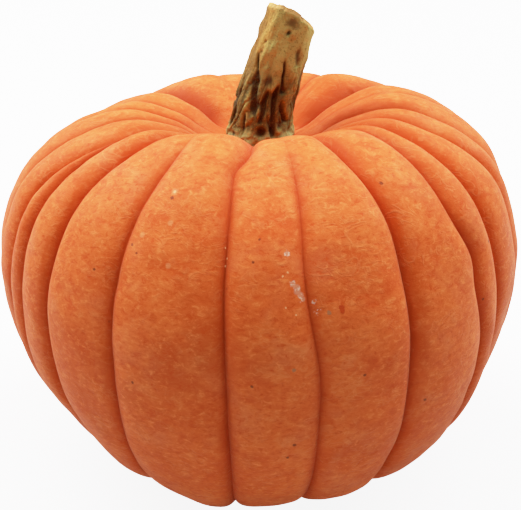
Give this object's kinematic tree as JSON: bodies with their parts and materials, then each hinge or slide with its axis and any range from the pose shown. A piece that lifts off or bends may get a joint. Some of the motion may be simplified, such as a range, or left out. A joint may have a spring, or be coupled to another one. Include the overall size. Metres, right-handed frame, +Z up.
{
  "type": "pumpkin",
  "caption": "Ribbed orange pumpkin, wide and low with a sunken top, standing on its flat spot, with a thick dry cut stem.",
  "frame": {"origin": "on the surface that the pumpkin rests on, under the middle of the fruit, inside its flat spot", "axes": "+Z up through the fruit and its stem, -Y towards the front, +X to the side that the stem leans to"},
  "size_m": [0.2368, 0.2572, 0.212],
  "materials": {
    "skin": "matte",
    "dry_stem": "matte"
  },
  "bodies": {
    "root": {"fruit": "skin", "stem": "dry_stem"}
  },
  "joints": []
}
